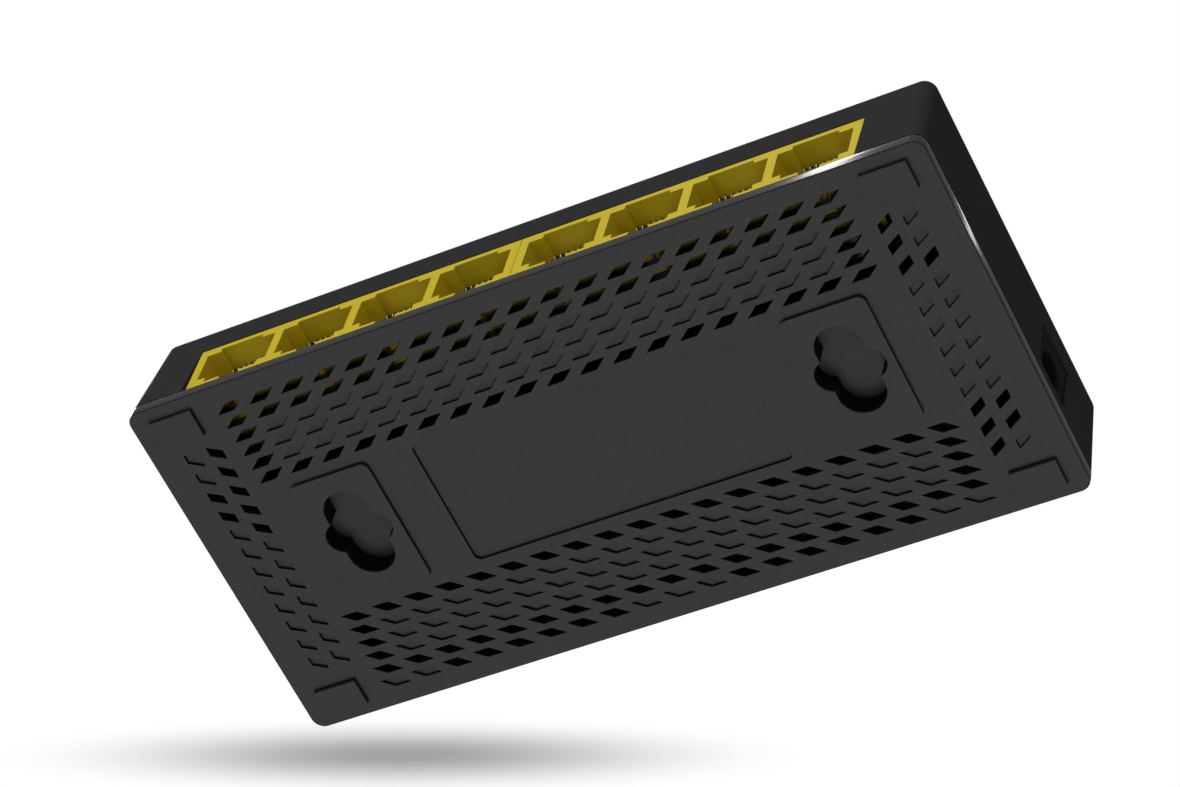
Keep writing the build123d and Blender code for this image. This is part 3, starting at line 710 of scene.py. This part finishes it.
contact_gold = metal(
    "contact_gold",
    (0.30, 0.23, 0.09, 1),
    (0.44, 0.35, 0.15, 1),
    rough=(0.34, 0.50),
    grain_scale=5200.0,
    depth=0.000001,
)
for number in range(1, socket_count + 1):
    low, high = (np.array(corner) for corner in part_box(f"contact_wires_{number}"))
    carrier_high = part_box(f"contact_carrier_{number}")[1]
    pitch = (high[0] - low[0] - 2 * wire_radius) / (wires_per_socket - 1)
    reach = high[1] - wire_radius - low[1] - hairpin_radius
    route = wire_route(carrier_high[1], high[2], low[2], reach)
    shifts = np.zeros((wires_per_socket, 3))
    shifts[:, 0] = (np.arange(wires_per_socket) - (wires_per_socket - 1) / 2) * pitch
    shifts[:, 0] += (low[0] + high[0]) / 2
    springs = closed_tubes(f"contact_springs_{number}", round_wire(route), wire_sides, shifts, False)
    springs.data.polygons.foreach_set("use_smooth", np.ones(len(springs.data.polygons), bool))
    springs.data.materials.append(contact_gold)
    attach(springs, "root")
    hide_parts(f"contact_wires_{number}")


# Power socket. A black moulding let into the board's edge, with a nickel plated pin on the axis of
# its bore and a leaf spring in the slot below it.
jack_plastic = moulding(
    "jack_plastic",
    (0.0120, 0.0120, 0.0124, 1),
    (0.0205, 0.0205, 0.0210, 1),
    rough=(0.56, 0.70),
    grain_scale=2000.0,
    cloud_scale=110.0,
    depth=0.000006,
    specular=0.02,
)
pin_nickel = metal(
    "pin_nickel",
    (0.56, 0.55, 0.52, 1),
    (0.74, 0.73, 0.70, 1),
    rough=(0.18, 0.34),
    grain_scale=4200.0,
    depth=0.000001,
)
dress("dc_jack_body", jack_plastic)
dress("dc_jack_pin", pin_nickel)
dress("dc_jack_spring", pin_nickel)


# Circuit board. Glass fibre with a green solder mask, through which the copper tracks show as
# slightly raised, paler lines. It rests on the tray's bosses.
mask_green = (0.0020, 0.0120, 0.0055, 1)
track_green = (0.0035, 0.0230, 0.0095, 1)
track_pitch = 0.0016
track_gap = 0.00035
track_stretch = 0.011
track_softness = 0.1
track_balance = -0.1
track_relief = 0.00003
weave_scale = 1900.0
mask_roughness = (0.22, 0.38)


def track_group():
    """Tracks under the mask: straight bands along X, broken into stretches that change lane."""
    group, result = new_group("board_tracks", {}, ("Track", "Weave"))
    place = put(group, "ShaderNodeTexCoord").outputs["Object"]
    bricks = put(
        group,
        "ShaderNodeTexBrick",
        {
            "Vector": place,
            "Color1": (1, 1, 1, 1),
            "Color2": (0, 0, 0, 1),
            "Mortar": (0, 0, 0, 1),
            "Scale": 1.0,
            "Mortar Size": track_gap,
            "Mortar Smooth": track_softness,
            "Bias": track_balance,
            "Brick Width": track_stretch,
            "Row Height": track_pitch / 2,
        },
    )
    weave = put(
        group,
        "ShaderNodeTexNoise",
        {"Vector": place, "Scale": weave_scale, "Detail": 2.0},
    )
    group.links.new(bricks.outputs["Color"], result.inputs["Track"])
    group.links.new(weave.outputs["Fac"], result.inputs["Weave"])
    return group


board_mask = blank_material("board_mask")
tree = board_mask.node_tree
shader = shader_of(board_mask)
tracks = put(tree, "ShaderNodeGroup", node_tree=track_group())
lift = put(
    tree,
    "ShaderNodeBump",
    {"Height": tracks.outputs["Track"], "Strength": 1.0, "Distance": track_relief},
)
gloss = put(
    tree,
    "ShaderNodeMapRange",
    {
        "Value": tracks.outputs["Weave"],
        "From Min": cloud_span[0],
        "From Max": cloud_span[1],
        "To Min": mask_roughness[0],
        "To Max": mask_roughness[1],
    },
)
greens = blend(tree, tracks.outputs["Track"], mask_green, track_green)
tree.links.new(greens, shader.inputs["Base Color"])
tree.links.new(gloss.outputs["Result"], shader.inputs["Roughness"])
tree.links.new(lift.outputs[0], shader.inputs["Normal"])
dress("circuit_board", board_mask)


# Board screws. Four zinc plated pan head screws with a cross recess and a coarse thread hold the
# board down on the tray's bosses.
screw_head_radius = 0.0023
screw_shank_radius = 0.0011
screw_head_height = 0.0015
head_middle = 0.001
head_dome = 0.30
cross_half_width = 0.00028
cross_reach = 0.0014
cross_depth = 0.0008
cross_foot = 0.0020
thread_pitch = 0.0008
thread_depth = 0.00018
point_length = 0.0006
point_share = 0.02
thread_end_radius = 0.0006
screw_sides = 72
head_steps = 22
rim_steps = 4
shank_steps = 59


def screw_shape(head_base, tip):
    """Points of a screw from two parameters: the turn about the axis and the way along the profile.

    The profile runs over the head from its middle, down its side, in to the shank and down to the
    tip. The cross recess sinks the head's top where a turned sine or cosine is small, and the thread
    moves the shank's wall in and out with the height less one pitch for each turn.
    """
    turn = np.arange(screw_sides) / screw_sides * 2 * np.pi
    top = np.linspace(head_middle, 1, head_steps)
    head_r = screw_head_radius * top
    head_z = head_base + screw_head_height * (1 - head_dome * top**4)
    down = np.linspace(1, 0, rim_steps + 1)[1:]
    rim_r = np.full(rim_steps, screw_head_radius)
    rim_z = head_base + screw_head_height * (1 - head_dome) * down
    length = np.linspace(0, 1, shank_steps + 1)[1:]
    shank_z = head_base + (tip - head_base) * length
    shank_r = screw_shank_radius * np.clip((shank_z - tip) / point_length, point_share, 1)
    r = np.concatenate([head_r, rim_r, [screw_shank_radius], shank_r])[:, None] * np.ones(screw_sides)
    z = np.concatenate([head_z, rim_z, [head_base], shank_z])[:, None] * np.ones(screw_sides)
    arm = np.minimum(np.abs(np.sin(turn)), np.abs(np.cos(turn)))[None] * head_r[:, None]
    cross = (arm < cross_half_width) & (head_r[:, None] < cross_reach)
    z[:head_steps] -= np.where(cross, cross_depth, 0.0) * (1 - head_r[:, None] / cross_foot)
    shank = head_steps + rim_steps + 1
    phase = (z[shank:] / thread_pitch - turn[None] / (2 * np.pi)) % 1.0
    r[shank:] -= thread_depth * np.abs(2 * phase - 1) * (r[shank:] > thread_end_radius)
    return np.stack([r * np.cos(turn), r * np.sin(turn), z], 2).reshape(-1, 3)


screw_steel = metal(
    "screw_steel",
    (0.46, 0.46, 0.45, 1),
    (0.64, 0.64, 0.62, 1),
    rough=(0.24, 0.42),
    grain_scale=3800.0,
    depth=0.000001,
)
screw_low, screw_high = (np.array(corner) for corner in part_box("board_screws"))
screw_half = (screw_high - screw_low)[:2] / 2 - screw_head_radius
screw_spots = np.array([(sx, sy, 0) for sx in (-1, 1) for sy in (-1, 1)]) * np.append(screw_half, 0)
screw_points = screw_shape(screw_high[2] - screw_head_height, screw_low[2])
screws = closed_tubes("cross_head_screws", screw_points, screw_sides, screw_spots, True)
screws.data.materials.append(screw_steel)
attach(screws, "root")
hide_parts("board_screws")


# Chips, transformers and other black packages. Filled epoxy, dull and faintly speckled, with tinned
# leads on the board.
transformer_count = 4
package_black = moulding(
    "package_black",
    (0.010, 0.010, 0.011, 1),
    (0.021, 0.021, 0.022, 1),
    rough=(0.50, 0.66),
    grain_scale=5200.0,
    cloud_scale=160.0,
    depth=0.000004,
    specular=0.30,
)
black_packages = ["switch_chip", "config_memory", "regulator_chip", "inductor", "diode"]
black_packages += [f"transformer_{number}" for number in range(1, transformer_count + 1)]
for node in black_packages:
    dress(node, package_black)


# Thermal pad. A soft grey sheet of filled silicone, cut to the switch chip and tacky on both faces,
# fills the gap between the chip and its heat sink.
pad_silicone = moulding(
    "pad_silicone",
    (0.20, 0.24, 0.29, 1),
    (0.28, 0.32, 0.37, 1),
    rough=(0.62, 0.78),
    grain_scale=2600.0,
    cloud_scale=200.0,
    depth=0.000010,
    specular=0.30,
)
dress("thermal_pad", pad_silicone)


# Heat sink and cans. The sink is sawn from an extruded aluminium bar and stuck to the thermal pad.
# The cans of the crystal and the round capacitors are drawn from sheet and brighter.
sink_aluminium = metal(
    "sink_aluminium",
    (0.50, 0.51, 0.53, 1),
    (0.66, 0.67, 0.69, 1),
    rough=(0.30, 0.48),
    grain_scale=2600.0,
    depth=0.000003,
)
can_aluminium = metal(
    "can_aluminium",
    (0.62, 0.62, 0.64, 1),
    (0.76, 0.76, 0.78, 1),
    rough=(0.20, 0.34),
    grain_scale=3600.0,
    depth=0.000001,
)
dress("heat_sink", sink_aluminium)
for node in ("crystal", "capacitor_1", "capacitor_2"):
    dress(node, can_aluminium)


# Fuse and ceramic capacitors. Small fired bodies in brown and buff, soldered flat on the board by
# their plated ends.
fired_ceramic = moulding(
    "fired_ceramic",
    (0.24, 0.15, 0.085, 1),
    (0.34, 0.23, 0.140, 1),
    rough=(0.36, 0.52),
    grain_scale=4200.0,
    cloud_scale=300.0,
    depth=0.000004,
    specular=0.40,
)
for node in ("fuse", "chip_capacitors"):
    dress(node, fired_ceramic)


# Indicator lamps. Nine small blocks of milky resin, cast over their chips and soldered along the
# front of the board. They are unlit.
indicator_count = 9
lamp_resin = moulding(
    "lamp_resin",
    (0.58, 0.62, 0.50, 1),
    (0.70, 0.74, 0.62, 1),
    rough=(0.20, 0.34),
    grain_scale=3200.0,
    cloud_scale=400.0,
    depth=0.000002,
    specular=0.50,
)
for number in range(1, indicator_count + 1):
    dress(f"led_{number}", lamp_resin)


# Light guide. One clear acrylic moulding carries the indicators' light up and out through the front
# wall, where its ends fill the nine openings.
acrylic_clearness = 0.75
acrylic_index = 1.49
guide_acrylic = moulding(
    "guide_acrylic",
    (0.80, 0.84, 0.85, 1),
    (0.88, 0.91, 0.92, 1),
    rough=(0.10, 0.22),
    grain_scale=900.0,
    cloud_scale=150.0,
    depth=0.000003,
    specular=0.50,
)
shader = shader_of(guide_acrylic)
shader.inputs["Transmission Weight"].default_value = acrylic_clearness
shader.inputs["IOR"].default_value = acrylic_index
dress("light_pipe", guide_acrylic)
